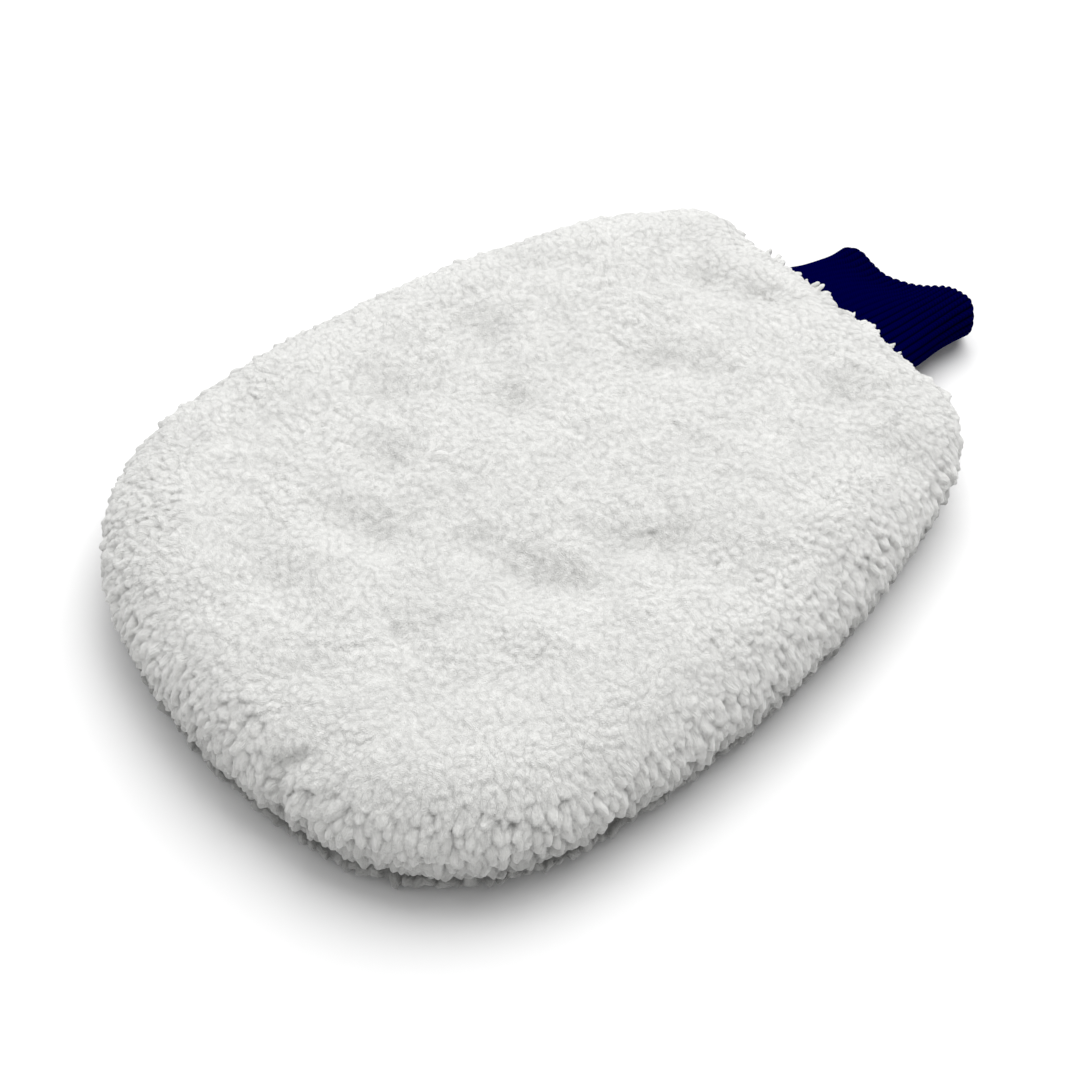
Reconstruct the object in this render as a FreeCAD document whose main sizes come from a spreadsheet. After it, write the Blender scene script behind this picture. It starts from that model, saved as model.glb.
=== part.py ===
import FreeCAD, Part
import math
import os

import Sketcher

# A plush wash mitt lying on a surface: a flat, rounded pouch of long-pile microfibre that a hand
# slides into through a short rib-knit cuff. Units are millimetres, +Z is up, the pouch's fingertip
# end points to -Y and the cuff to +Y, and the origin is under the middle of the mitt.
#
# From the bottom up the pouch is a lower pile panel, a lower lining, the hand pocket, an upper
# lining and an upper pile panel. The two pile panels meet at the perimeter seam. All of them share
# one outline, moved inwards by an inset. The cuff turns about the neck seam, and both pile panels
# are cut back there, by a gap called the bay, as far as the cuff sweeps.

DIMENSIONS = [
    # the outline, by the centres of its arcs
    ("tip_radius", 171.4, "arc across the fingertip end"),
    ("tip_centre_y", 31.0, "its centre, on the mitt's middle line"),
    ("corner_centre_x", 27.5, "arc round each fingertip corner"),
    ("corner_centre_back", 69.5, "its centre, behind the origin"),
    ("flank_centre_x", 242.5, "long arc of each side, its centre beyond the other side"),
    ("flank_centre_back", 44.5, "its centre, behind the origin"),
    ("shoulder_centre_x", 27.5, "arc of each shoulder beside the neck"),
    ("shoulder_centre_y", 57.0, "its centre"),
    # the layers, by height above the surface
    ("seam_height", 12.0, "where the pile panels meet"),
    ("pouch_height", 36.0, "top of the pile"),
    ("pocket_roof", 23.0, "underside of the upper pile panel"),
    ("upper_rounding", 14.0, "rolled edge of the upper pile panel"),
    ("lower_rounding", 8.0, "rolled edge of the lower pile panel"),
    ("seam_allowance", 16.0, "from the outline in to the pocket's wall"),
    ("layer_gap", 0.3, "between a lining and the pile panel round it"),
    ("lining_thickness", 0.7, "thin knit lining"),
    # the perimeter seam's threads, by their distance in from the outline
    ("thread_width", 0.8, "width and thickness of a thread"),
    ("needle_inset", 10.0, "needle thread, along the seam"),
    ("looper_inset", 14.5, "looper thread, along the raw edges"),
    # the neck
    ("neck_seam_y", 101.0, "line that the cuff turns about"),
    ("bay_width", 61.0, "gap that the cuff turns in"),
    ("bay_back", 14.0, "from the neck seam back into the pouch"),
    ("bay_reach", 20.0, "from the neck seam out past the pile"),
    ("bay_floor", 7.6, "bottom of that gap in the lower panel"),
    ("neck_needle_back", 11.0, "needle thread, back from the neck seam"),
    ("neck_looper_back", 13.0, "looper thread, back from the neck seam"),
    ("neck_ring_height", 15.0, "height of the neck seam's rings of thread"),
    ("neck_ring_level", 15.5, "their middle"),
    # the rib-knit cuff
    ("cuff_gap", 0.3, "from the neck seam to the cuff"),
    ("cuff_wall", 2.8, "two layers of rib knit, folded at the end"),
    ("waist_from_seam", 17.0, "the cuff's narrowest place"),
    ("end_from_seam", 39.4, "the cuff's folded end"),
    ("root_width", 55.0, "cuff at the neck seam"),
    ("root_height", 14.0, "the same"),
    ("root_level", 16.5, "its middle there"),
    ("waist_width", 50.0, "cuff at its narrowest"),
    ("waist_height", 15.0, "the same"),
    ("waist_level", 13.8, "its middle there"),
    ("end_width", 57.0, "flared folded end"),
    ("end_height", 19.6, "the same"),
    ("end_level", 10.6, "its middle there"),
    ("cuff_thread", 0.8, "thread of the seam that closes the cuff's strip into a tube"),
    ("cuff_thread_gap", 0.2, "between that thread and the cuff's inner wall"),
]

UP = FreeCAD.Vector(0, 0, 1)
QUARTER = math.pi / 2
HEIGHT_TOLERANCE = 1e-6
LEAST_CUT = 1.0

doc = FreeCAD.newDocument("wash_mitt")
sheet = doc.addObject("Spreadsheet::Sheet", "size")
for row, (alias, number, note) in enumerate(DIMENSIONS, start=1):
    sheet.set(f"A{row}", note)
    sheet.set(f"B{row}", str(number))
    sheet.setAlias(f"B{row}", alias)
doc.recompute()


# ---- helpers ----


def value(text):
    """What an expression over the spreadsheet's cells comes to."""
    return float(sheet.evalExpression(text))


def new_body(name, level=None):
    """A body with a sub-part's name, whose own origin is at a level above the surface."""
    body = doc.addObject("PartDesign::Body", name)
    body.Label = name
    body.Placement = FreeCAD.Placement()
    if level:
        body.setExpression(".Placement.Base.z", level)
    return body


def new_sketch(body, name, role="XY_Plane", offset=None):
    """A sketch on one of the body's own origin planes, moved along the plane's normal."""
    plane = next(item for item in body.Origin.OriginFeatures if item.Role == role)
    sketch = body.newObject("Sketcher::SketchObject", f"{body.Name}_{name}")
    sketch.AttachmentSupport = [(plane, "")]
    sketch.MapMode = "FlatFace"
    if offset:
        sketch.setExpression(".AttachmentOffset.Base.z", offset)
    return sketch


def relate(sketch, kind, *places):
    """A constraint with no value."""
    sketch.addConstraint(Sketcher.Constraint(kind, *places))


def hold(sketch, kind, places, text):
    """A constraint whose value follows an expression."""
    index = sketch.addConstraint(Sketcher.Constraint(kind, *places, value(text)))
    sketch.setExpression(f"Constraints[{index}]", text)


def arc(centre, radius, start, end):
    return Part.ArcOfCircle(Part.Circle(FreeCAD.Vector(*centre, 0), UP, radius), start, end)


def line(start, end):
    return Part.LineSegment(FreeCAD.Vector(*start, 0), FreeCAD.Vector(*end, 0))


def join_tangent(sketch, first, count):
    """Close a loop of lines and arcs, each meeting the next tangent to it."""
    for number in range(count):
        relate(sketch, "Tangent", first + number, 2, first + (number + 1) % count, 1)


def add_outline(sketch, inset="0"):
    """The pouch's outline, moved inwards by an inset. Only the fingertip arc's radius is given,
    and every other radius follows, because each arc is tangent to the next."""
    tip = (0.0, value("size.tip_centre_y"))
    corner = (value("size.corner_centre_x"), -value("size.corner_centre_back"))
    flank = (-value("size.flank_centre_x"), -value("size.flank_centre_back"))
    shoulder = (value("size.shoulder_centre_x"), value("size.shoulder_centre_y"))
    tip_radius = value(f"size.tip_radius - ({inset})")
    corner_radius = tip_radius - math.dist(tip, corner)
    flank_radius = corner_radius + math.dist(corner, flank)
    shoulder_radius = flank_radius - math.dist(shoulder, flank)
    neck_y = shoulder[1] + shoulder_radius
    tip_turn = math.atan2(corner[1] - tip[1], corner[0] - tip[0])
    corner_turn = math.atan2(corner[1] - flank[1], corner[0] - flank[0])
    flank_turn = math.atan2(shoulder[1] - flank[1], shoulder[0] - flank[0])

    right = [
        (corner, corner_radius, tip_turn, corner_turn),
        (flank, flank_radius, corner_turn, flank_turn),
        (shoulder, shoulder_radius, flank_turn, QUARTER),
    ]
    left = [
        ((-centre[0], centre[1]), radius, math.pi - end, math.pi - start)
        for centre, radius, start, end in reversed(right)
    ]
    loop = [arc(tip, tip_radius, -math.pi - tip_turn, tip_turn)]
    loop += [arc(*part) for part in right]
    loop += [line((shoulder[0], neck_y), (-shoulder[0], neck_y))]
    loop += [arc(*part) for part in left]
    first = sketch.addGeometry(loop, False)[0]
    names = ["tip", "corner", "flank", "shoulder", "neck"]
    names += ["left_shoulder", "left_flank", "left_corner"]
    place = {name: first + number for number, name in enumerate(names)}

    join_tangent(sketch, first, len(loop))
    hold(sketch, "Radius", (place["tip"],), f"size.tip_radius - ({inset})")
    relate(sketch, "PointOnObject", place["tip"], 3, -2)
    hold(sketch, "DistanceY", (-1, 1, place["tip"], 3), "size.tip_centre_y")
    hold(sketch, "DistanceX", (-1, 1, place["corner"], 3), "size.corner_centre_x")
    hold(sketch, "DistanceY", (place["corner"], 3, -1, 1), "size.corner_centre_back")
    hold(sketch, "DistanceX", (place["flank"], 3, -1, 1), "size.flank_centre_x")
    hold(sketch, "DistanceY", (place["flank"], 3, -1, 1), "size.flank_centre_back")
    hold(sketch, "DistanceX", (-1, 1, place["shoulder"], 3), "size.shoulder_centre_x")
    hold(sketch, "DistanceY", (-1, 1, place["shoulder"], 3), "size.shoulder_centre_y")
    for name in ("corner", "flank", "shoulder"):
        relate(sketch, "Symmetric", place[name], 3, place["left_" + name], 3, -2)


def add_oval(sketch, width, height, level):
    """A flat oval with round ends, standing in a sketch whose Y is the mitt's Z."""
    radius = f"({height}) / 2"
    reach = f"({width}) / 2 - {radius}"
    x, z, r = value(reach), value(level), value(radius)
    loop = [
        arc((x, z), r, -QUARTER, QUARTER),
        line((x, z + r), (-x, z + r)),
        arc((-x, z), r, QUARTER, 3 * QUARTER),
        line((-x, z - r), (x, z - r)),
    ]
    right = sketch.addGeometry(loop, False)[0]
    left = right + 2
    join_tangent(sketch, right, len(loop))
    relate(sketch, "Equal", right, left)
    relate(sketch, "Symmetric", right, 3, left, 3, -2)
    hold(sketch, "Radius", (right,), radius)
    hold(sketch, "DistanceX", (-1, 1, right, 3), reach)
    hold(sketch, "DistanceY", (-1, 1, right, 3), level)


def add_rectangle(sketch, west, east, south, north):
    """A rectangle between expressions: west and east of the sketch's middle line, and two places
    along its Y that are both above the origin."""
    left, right = -value(west), value(east)
    bottom, top = value(south), value(north)
    corners = [(left, bottom), (right, bottom), (right, top), (left, top)]
    loop = [line(corners[number - 1], corners[number]) for number in range(4)]
    first = sketch.addGeometry(loop, False)[0]
    left_side, bottom_side, right_side, top_side = range(first, first + 4)
    for number in range(4):
        relate(sketch, "Coincident", first + number, 2, first + (number + 1) % 4, 1)
    for side in (left_side, right_side):
        relate(sketch, "Vertical", side)
    for side in (bottom_side, top_side):
        relate(sketch, "Horizontal", side)
    hold(sketch, "DistanceX", (left_side, 1, -1, 1), west)
    hold(sketch, "DistanceX", (-1, 1, right_side, 1), east)
    hold(sketch, "DistanceY", (-1, 1, bottom_side, 1), south)
    hold(sketch, "DistanceY", (-1, 1, top_side, 1), north)


def pad(body, sketch, length):
    feature = body.newObject("PartDesign::Pad", f"{sketch.Name}_pad")
    feature.Profile = sketch
    feature.setExpression("Length", length)
    doc.recompute()


def pocket(body, sketch, depth, upwards=False):
    """Cut a sketch out of the body, against or along its normal, and see that it cut something."""
    before = body.Shape.Volume
    feature = body.newObject("PartDesign::Pocket", f"{sketch.Name}_pocket")
    feature.Profile = sketch
    feature.setExpression("Length", depth)
    feature.Reversed = upwards
    doc.recompute()
    if body.Shape.Volume > before - LEAST_CUT:
        raise RuntimeError(f"{feature.Name} cut nothing")


def round_rim(body, level, radius):
    """Round the rim of the body's last feature, at a level in the body's own frame."""
    base = body.Tip
    rim = []
    for number, edge in enumerate(base.Shape.Edges, start=1):
        box = edge.BoundBox
        lowest, highest = box.ZMin - value(level), box.ZMax - value(level)
        if abs(lowest) < HEIGHT_TOLERANCE and abs(highest) < HEIGHT_TOLERANCE:
            rim.append(f"Edge{number}")
    feature = body.newObject("PartDesign::Fillet", f"{body.Name}_rim")
    feature.Base = (base, rim)
    feature.setExpression("Radius", radius)
    doc.recompute()


def neck_bay(body, name, offset=None):
    """A sketch of the bay: the gap in the neck that the cuff turns in."""
    sketch = new_sketch(body, name, offset=offset)
    half = "size.bay_width / 2"
    back = "size.neck_seam_y - size.bay_back"
    add_rectangle(sketch, half, half, back, "size.neck_seam_y + size.bay_reach")
    return sketch


# ---- the pouch ----


def upper_pile_panel():
    """The upper half: backing cloth and long pile, rolled down over the rim to the seam."""
    body = new_body("upper_pile_panel", "size.seam_height")
    outline = new_sketch(body, "outline")
    add_outline(outline)
    pad(body, outline, "size.pouch_height - size.seam_height")
    round_rim(body, "size.pouch_height - size.seam_height", "size.upper_rounding")
    hollow = new_sketch(body, "hollow")
    add_outline(hollow, "size.seam_allowance")
    pocket(body, hollow, "size.pocket_roof - size.seam_height", upwards=True)
    pocket(body, neck_bay(body, "bay"), "size.pouch_height", upwards=True)
    return body


def lower_pile_panel():
    """The lower half, pressed flat by what lies on it, with a channel for each seam thread."""
    body = new_body("lower_pile_panel")
    outline = new_sketch(body, "outline")
    add_outline(outline)
    pad(body, outline, "size.seam_height")
    round_rim(body, "0", "size.lower_rounding")
    for name, inset in (("needle", "size.needle_inset"), ("looper", "size.looper_inset")):
        channel = new_sketch(body, name, offset="size.seam_height")
        add_outline(channel, inset)
        add_outline(channel, f"{inset} + size.thread_width")
        pocket(body, channel, "size.thread_width")
    bay = neck_bay(body, "bay", offset="size.bay_floor")
    pocket(body, bay, "size.seam_height", upwards=True)
    return body


def upper_lining_panel():
    """A thin knit dish under the upper pile panel, open at the neck for the hand."""
    body = new_body("upper_lining_panel", "size.seam_height + size.lining_thickness")
    inset = "size.seam_allowance + size.layer_gap"
    height = "size.pocket_roof - size.seam_height - size.lining_thickness"
    outline = new_sketch(body, "outline")
    add_outline(outline, inset)
    pad(body, outline, height)
    hollow = new_sketch(body, "hollow")
    add_outline(hollow, f"{inset} + size.lining_thickness")
    pocket(body, hollow, f"{height} - size.lining_thickness", upwards=True)
    mouth = neck_bay(body, "mouth")
    pocket(body, mouth, "size.pouch_height", upwards=True)
    return body


def lower_lining_panel():
    """A thin knit sheet on the lower pile panel, under the hand."""
    body = new_body("lower_lining_panel", "size.seam_height")
    outline = new_sketch(body, "outline")
    add_outline(outline, "size.seam_allowance + size.layer_gap")
    pad(body, outline, "size.lining_thickness")
    mouth = neck_bay(body, "mouth")
    pocket(body, mouth, "size.seam_height", upwards=True)
    return body


# ---- the seam threads ----


def perimeter_thread(name, inset):
    """A thread that runs round the perimeter seam, in its channel, and stops at the neck."""
    body = new_body(name, "size.seam_height - size.thread_width")
    loop = new_sketch(body, "loop")
    add_outline(loop, inset)
    add_outline(loop, f"{inset} + size.thread_width")
    pad(body, loop, "size.thread_width")
    pocket(body, neck_bay(body, "bay"), "size.thread_width", upwards=True)
    return body


def neck_thread(name, back):
    """A thread that rings the neck seam, across the bay from wall to wall."""
    body = new_body(name)
    offset = f"({back}) - size.neck_seam_y - size.thread_width"
    loop = new_sketch(body, "loop", role="XZ_Plane", offset=offset)
    width, height = "size.bay_width", "size.neck_ring_height"
    add_oval(loop, width, height, "size.neck_ring_level")
    twice = "2 * size.thread_width"
    add_oval(loop, f"{width} - {twice}", f"{height} - {twice}", "size.neck_ring_level")
    pad(body, loop, "size.thread_width")
    return body


# ---- the cuff ----

STATIONS = [
    ("root", "size.cuff_gap"),
    ("waist", "size.waist_from_seam"),
    ("end", "size.end_from_seam"),
]


def loft(body, name, kind, draw):
    """A straight-sided loft through one section at each of the cuff's stations."""
    sections = []
    for station, distance in STATIONS:
        offset = f"-(size.neck_seam_y + {distance})"
        sketch = new_sketch(body, f"{name}_{station}", role="XZ_Plane", offset=offset)
        draw(sketch, station)
        sections.append(sketch)
    feature = body.newObject(f"PartDesign::{kind}", f"{body.Name}_{name}")
    feature.Profile = sections[0]
    feature.Sections = sections[1:]
    feature.Ruled = True
    doc.recompute()


def rib_cuff():
    """A flattened tube of rib knit, folded double, with a narrow waist and a flared end."""

    def outside(sketch, station):
        sizes = [f"size.{station}_{name}" for name in ("width", "height", "level")]
        add_oval(sketch, *sizes)

    def inside(sketch, station):
        walls = "2 * size.cuff_wall"
        width = f"size.{station}_width - {walls}"
        height = f"size.{station}_height - {walls}"
        add_oval(sketch, width, height, f"size.{station}_level")

    body = new_body("rib_cuff")
    loft(body, "outside", "AdditiveLoft", outside)
    before = body.Shape.Volume
    loft(body, "inside", "SubtractiveLoft", inside)
    if body.Shape.Volume > before - LEAST_CUT:
        raise RuntimeError("the cuff isn't hollow")
    return body


def cuff_seam_thread():
    """The thread that closes the cuff's strip of knit into a tube, inside its left fold."""

    def section(sketch, station):
        outer = f"size.{station}_width / 2 - size.cuff_wall - size.cuff_thread_gap"
        inner = f"-({outer} - size.cuff_thread)"
        low = f"size.{station}_level - size.cuff_thread / 2"
        high = f"size.{station}_level + size.cuff_thread / 2"
        add_rectangle(sketch, outer, inner, low, high)

    body = new_body("cuff_seam_thread")
    loft(body, "strand", "AdditiveLoft", section)
    return body


# ---- build, check and write ----

sub_parts = [
    upper_pile_panel(),
    lower_pile_panel(),
    upper_lining_panel(),
    lower_lining_panel(),
    perimeter_thread("perimeter_needle_thread", "size.needle_inset"),
    perimeter_thread("perimeter_looper_thread", "size.looper_inset"),
    neck_thread("neck_needle_thread", "size.neck_needle_back"),
    neck_thread("neck_looper_thread", "size.neck_looper_back"),
    rib_cuff(),
    cuff_seam_thread(),
]
doc.recompute()

for item in doc.Objects:
    if "Invalid" in item.State or "Error" in item.State:
        raise RuntimeError(f"{item.Name} did not build: {item.State}")
for body in sub_parts:
    if body.Shape.isNull() or not body.Shape.isValid() or not body.Shape.Solids:
        raise RuntimeError(f"{body.Label} has no valid solid")

os.makedirs("parts", exist_ok=True)
for body in sub_parts:
    body.Shape.exportStep(f"parts/{body.Label}.step")
    box = body.Shape.optimalBoundingBox()
    low = f"{box.XMin:.1f} {box.YMin:.1f} {box.ZMin:.1f}"
    high = f"{box.XMax:.1f} {box.YMax:.1f} {box.ZMax:.1f}"
    print(f"{body.Label}: {body.Shape.Volume / 1000:.2f} cm3, from {low} to {high}")
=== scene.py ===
import math

import bpy
import numpy as np
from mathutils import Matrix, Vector, geometry, kdtree, noise


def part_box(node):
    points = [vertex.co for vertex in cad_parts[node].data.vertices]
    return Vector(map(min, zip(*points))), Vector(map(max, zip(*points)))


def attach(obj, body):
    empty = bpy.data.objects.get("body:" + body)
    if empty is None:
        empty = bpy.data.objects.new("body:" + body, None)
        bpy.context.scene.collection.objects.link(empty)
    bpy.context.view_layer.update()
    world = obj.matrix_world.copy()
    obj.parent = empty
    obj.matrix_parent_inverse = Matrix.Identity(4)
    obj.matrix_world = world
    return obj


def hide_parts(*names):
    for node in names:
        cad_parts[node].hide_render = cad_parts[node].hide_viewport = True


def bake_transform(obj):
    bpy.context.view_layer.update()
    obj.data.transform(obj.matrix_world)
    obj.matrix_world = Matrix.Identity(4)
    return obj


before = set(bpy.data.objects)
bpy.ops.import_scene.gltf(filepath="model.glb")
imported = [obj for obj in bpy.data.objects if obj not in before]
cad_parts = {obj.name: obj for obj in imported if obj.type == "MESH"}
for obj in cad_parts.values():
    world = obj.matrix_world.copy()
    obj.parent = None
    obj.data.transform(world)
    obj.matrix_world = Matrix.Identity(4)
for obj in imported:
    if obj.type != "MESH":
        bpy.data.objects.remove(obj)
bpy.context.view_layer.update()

# A plush wash mitt with a rib-knit cuff. All shapes are worked out in millimetres, in the frame's
# own axes, and make_piece() turns them into metres. +Y runs to the cuff and +Z is up.

MM = 0.001
UPPER_LOW, UPPER_HIGH = (np.array(corner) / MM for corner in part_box("upper_pile_panel"))

# ---- small tools ----


def unit(vectors):
    length = np.linalg.norm(vectors, axis=-1, keepdims=True)
    return vectors / np.maximum(length, 1e-9)


def smooth_step(x, low, high):
    t = np.clip((x - low) / (high - low), 0.0, 1.0)
    return t * t * (3.0 - 2.0 * t)


def part_way(ends, share):
    return ends[0] + (ends[1] - ends[0]) * share


def noise_at(points, size, seed=0.0):
    """Smooth noise from -1 to 1 at each point, with features of a size in millimetres."""
    shift = Vector((seed * 17.3, seed * 5.1, seed * 9.7))
    return np.array([noise.noise(Vector(p) / size + shift) for p in points])


def travel_along(points):
    """How far each point lies along the line through them."""
    steps = np.linalg.norm(np.diff(points, axis=0), axis=1)
    return np.concatenate([[0.0], np.cumsum(steps)])


def read_at(wanted, travel, values):
    """Rows of values read at the wanted places along their travel."""
    return np.stack([np.interp(wanted, travel, column) for column in values.T], axis=1)


def tree_of(points):
    """A tree that finds the nearest of the points."""
    tree = kdtree.KDTree(len(points))
    for index, point in enumerate(points.tolist()):
        tree.insert(point, index)
    tree.balance()
    return tree


def dress(mesh, material):
    """Gives a mesh smooth faces and its only material."""
    mesh.materials.clear()
    mesh.materials.append(material)
    mesh.polygons.foreach_set("use_smooth", [True] * len(mesh.polygons))


def place_item(name, data, place, turn):
    item = bpy.data.objects.new(name, data)
    item.location = place
    item.rotation_euler = turn
    bpy.context.scene.collection.objects.link(item)
    return item


def make_piece(name, points, groups, material):
    """A mesh object from points in millimetres and arrays of faces, each of one face size."""
    mesh = bpy.data.meshes.new(name)
    mesh.vertices.add(len(points))
    mesh.vertices.foreach_set("co", (points * MM).astype(np.float32).reshape(-1))
    sizes = np.concatenate([np.full(len(group), group.shape[1]) for group in groups])
    corners = np.concatenate([group.reshape(-1) for group in groups])
    mesh.loops.add(len(corners))
    mesh.loops.foreach_set("vertex_index", corners.astype(np.int32))
    mesh.polygons.add(len(sizes))
    starts = np.concatenate([[0], np.cumsum(sizes)[:-1]])
    mesh.polygons.foreach_set("loop_start", starts.astype(np.int32))
    mesh.update(calc_edges=True)
    dress(mesh, material)
    return place_item(name, mesh, (0, 0, 0), (0, 0, 0))


def set_attribute(piece, name, values):
    """A number or a vector for each of a piece's vertices."""
    values = np.asarray(values, np.float32)
    kind, field = ("FLOAT", "value") if values.ndim == 1 else ("FLOAT_VECTOR", "vector")
    attribute = piece.data.attributes.new(name, kind, "POINT")
    attribute.data.foreach_set(field, values.reshape(-1))


def vertex_points(piece):
    """A piece's vertices in millimetres."""
    found = np.zeros(len(piece.data.vertices) * 3)
    piece.data.vertices.foreach_get("co", found)
    return found.reshape(-1, 3) / MM


# ---- the pouch's outline ----

TIP_CENTRE = np.array([0.0, 31.0])
CORNER_CENTRE = np.array([27.5, -69.5])
FLANK_CENTRE = np.array([-242.5, -44.5])
SHOULDER_CENTRE = np.array([27.5, 57.0])


def outline_arcs():
    """The right half's arcs from the fingertip to the shoulder: centre, radius, start, end."""
    tip_radius = TIP_CENTRE[1] - UPPER_LOW[1]
    corner_radius = tip_radius - np.linalg.norm(CORNER_CENTRE - TIP_CENTRE)
    flank_radius = corner_radius + np.linalg.norm(CORNER_CENTRE - FLANK_CENTRE)
    shoulder_radius = flank_radius - np.linalg.norm(SHOULDER_CENTRE - FLANK_CENTRE)

    def turn(start, end):
        return math.atan2(end[1] - start[1], end[0] - start[0])

    first = turn(TIP_CENTRE, CORNER_CENTRE)
    second = turn(FLANK_CENTRE, CORNER_CENTRE)
    third = turn(FLANK_CENTRE, SHOULDER_CENTRE)
    return [
        (TIP_CENTRE, tip_radius, -math.pi / 2, first),
        (CORNER_CENTRE, corner_radius, first, second),
        (FLANK_CENTRE, flank_radius, second, third),
        (SHOULDER_CENTRE, shoulder_radius, third, math.pi / 2),
    ]


def outline(count):
    """Points evenly spaced round the outline, anticlockwise from the fingertip, and their normals."""
    points, normals = [], []
    for centre, radius, start, end in outline_arcs():
        for angle in np.linspace(start, end, 200)[:-1]:
            normal = np.array([math.cos(angle), math.sin(angle)])
            points.append(centre + radius * normal)
            normals.append(normal)
    for x in np.linspace(SHOULDER_CENTRE[0], 0.0, 60):
        points.append(np.array([x, points[-1][1]]))
        normals.append(np.array([0.0, 1.0]))
    points, normals = np.array(points), np.array(normals)
    mirror = np.array([-1.0, 1.0])
    points = np.vstack([points, points[-2:0:-1] * mirror])
    normals = np.vstack([normals, normals[-2:0:-1] * mirror])
    closed = np.vstack([points, points[:1]])
    closed_normals = np.vstack([normals, normals[:1]])
    travel = travel_along(closed)
    wanted = np.linspace(0.0, travel[-1], count, endpoint=False)
    return read_at(wanted, travel, closed), unit(read_at(wanted, travel, closed_normals))


RIM_COUNT = 256
RIM, RIM_NORMAL = outline(RIM_COUNT)
NECK_HALF = 33.0  # half the width of the neck
# 1 in the neck, where the cuff comes out between the panels, and 0 elsewhere
NECK = smooth_step(RIM[:, 1], 88.0, 100.0) * (1 - smooth_step(np.abs(RIM[:, 0]), 24.0, NECK_HALF))
# the same a little further out, where the seam draws the pile back round the cuff
COLLAR = smooth_step(RIM[:, 1], 84.0, 102.0) * (1 - smooth_step(np.abs(RIM[:, 0]), 34.0, 50.0))


def ring(inset, level, neck_level=None):
    """A ring of points at an inset from the outline, at a level that may differ in the neck."""
    level = np.broadcast_to(np.asarray(level, float), (RIM_COUNT,))
    if neck_level is not None:
        level = level + (neck_level - level) * NECK
    flat = RIM - RIM_NORMAL * np.asarray(inset, float).reshape(-1, 1)
    return np.column_stack([flat, level])


def inset_of(points):
    """How far points in plan lie in from the outline."""
    gaps = np.full(len(points), np.inf)
    for start, normal in zip(RIM, RIM_NORMAL):
        gaps = np.minimum(gaps, (start - points[:, :2]) @ normal)
    return gaps


# ---- meshes built from rings ----

CLEAR_OF_EDGE = 0.6  # of the spacing, between the edge and the grid inside it
TRIES = 5.0  # random places tried for each one that fits
NEIGHBOURS = [(i, j, k) for i in (-1, 0, 1) for j in (-1, 0, 1) for k in (-1, 0, 1)]


def fill_plan(edge, spacing):
    """The ring's plan points and an even grid inside them, and the triangles that join them."""
    low, high = edge.min(axis=0), edge.max(axis=0)
    grid = []
    for row, y in enumerate(np.arange(low[1], high[1], spacing * math.sqrt(3) / 2)):
        for x in np.arange(low[0] + row % 2 * spacing / 2, high[0], spacing):
            grid.append((x, y))
    grid = np.array(grid)
    depth = np.full(len(grid), np.inf)
    crossings = np.zeros(len(grid), int)
    for start, end in zip(edge, np.roll(edge, -1, axis=0)):
        way = end - start
        share = np.clip((grid - start) @ way / max(way @ way, 1e-9), 0, 1)
        gap = grid - start - share[:, None] * way
        depth = np.minimum(depth, np.hypot(gap[:, 0], gap[:, 1]))
        if start[1] != end[1]:
            beside = (grid[:, 1] >= start[1]) != (grid[:, 1] >= end[1])
            crossing = start[0] + (grid[:, 1] - start[1]) * way[0] / way[1]
            crossings += beside & (grid[:, 0] < crossing)
    depth[crossings % 2 == 0] = 0.0
    points = np.vstack([edge, grid[depth > spacing * CLEAR_OF_EDGE]])
    borders = [(k, (k + 1) % len(edge)) for k in range(len(edge))]
    result = geometry.delaunay_2d_cdt([Vector(p) for p in points], borders, [], 1, 1e-6)
    return points, [tuple(face) for face in result[2]]


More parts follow.
